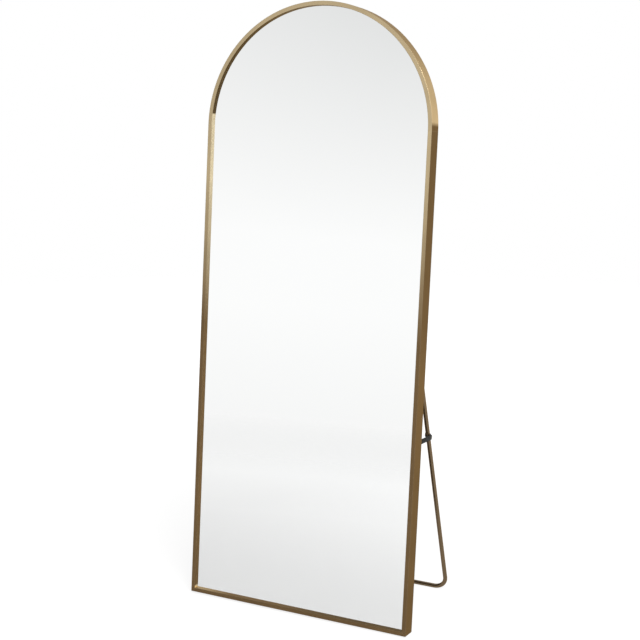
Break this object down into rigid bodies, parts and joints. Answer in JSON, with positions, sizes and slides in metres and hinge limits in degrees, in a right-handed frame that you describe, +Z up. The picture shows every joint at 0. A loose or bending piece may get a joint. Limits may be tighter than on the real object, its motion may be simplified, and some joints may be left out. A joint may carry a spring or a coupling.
{
  "type": "leaning floor mirror",
  "caption": "Arched full-length mirror in a deep bronze-gold frame that leans on a folding U-shaped tube leg with riveted stays.",
  "frame": {"origin": "on the floor, at the middle of the footprint between the frame's front and the leg's foot bar", "axes": "+X to the viewer's right, seen from the front; -Y the way the glass faces; +Z up. The mirror leans back, its top towards +Y."},
  "size_m": [0.711, 0.3728, 1.7736],
  "materials": {
    "frame": "brushed anodised bronze-gold",
    "mirror": "silvered float glass",
    "foam": "white foam",
    "board": "plain fibreboard",
    "zinc": "zinc-plated steel",
    "leg": "brushed anodised bronze-gold",
    "black_metal": "satin black",
    "black_plastic": "black nylon",
    "rivet": "dark plated steel"
  },
  "bodies": {
    "mirror": {"frame_arch": "frame", "bottom_rail": "frame", "mirror_glass": "mirror", "foam_sheet": "foam", "back_board": "board", "board_clips": "zinc", "clip_screws": "zinc", "key_screws": "zinc", "side_rail_left": "frame", "corner_key_left": "zinc", "splice_key_left": "zinc", "hinge_bracket_left": "black_metal", "hinge_pin_left": "rivet", "stay_plate_left": "black_metal", "stay_pivot_left": "rivet", "side_rail_right": "frame", "corner_key_right": "zinc", "splice_key_right": "zinc", "hinge_bracket_right": "black_metal", "hinge_pin_right": "rivet", "stay_plate_right": "black_metal", "stay_pivot_right": "rivet", "hinge_spacers": "black_plastic", "channel_nuts": "zinc", "bracket_screws": "zinc"},
    "leg": {"leg_tube": "leg", "leg_plugs": "black_plastic", "stop_rivets": "rivet"},
    "stay_left": {"stay_link_left": "black_metal", "stay_rivet_left": "rivet"},
    "sleeve_left": {"collar_left": "black_plastic"},
    "stay_right": {"stay_link_right": "black_metal", "stay_rivet_right": "rivet"},
    "sleeve_right": {"collar_right": "black_plastic"}
  },
  "joints": [
    {"name": "leg_fold", "type": "hinge", "parent": "mirror", "child": "leg", "pos_m": [0, -0.07169, 0.78117], "axis": [-1, 0, 0], "range_deg": [0, 22.28]},
    {"name": "stay_left_swing", "type": "hinge", "parent": "mirror", "child": "stay_left", "pos_m": [0, -0.09528, 0.5481], "axis": [-1, 0, 0], "range_deg": [0, 85.14]},
    {"name": "collar_left_slide", "type": "slide", "parent": "leg", "child": "sleeve_left", "axis": [0, 0.309, -0.9511], "range_m": [0, 0.08133]},
    {"name": "stay_right_swing", "type": "hinge", "parent": "mirror", "child": "stay_right", "pos_m": [0, -0.09528, 0.5481], "axis": [-1, 0, 0], "range_deg": [0, 85.14]},
    {"name": "collar_right_slide", "type": "slide", "parent": "leg", "child": "sleeve_right", "axis": [0, 0.309, -0.9511], "range_m": [0, 0.08133]}
  ],
  "couplings": [
    {"joint": "stay_left_swing", "follows": "leg_fold", "ratio": 3.8193},
    {"joint": "collar_left_slide", "follows": "leg_fold", "m_per_rad": 0.20889},
    {"joint": "stay_right_swing", "follows": "leg_fold", "ratio": 3.8193},
    {"joint": "collar_right_slide", "follows": "leg_fold", "m_per_rad": 0.20889}
  ]
}
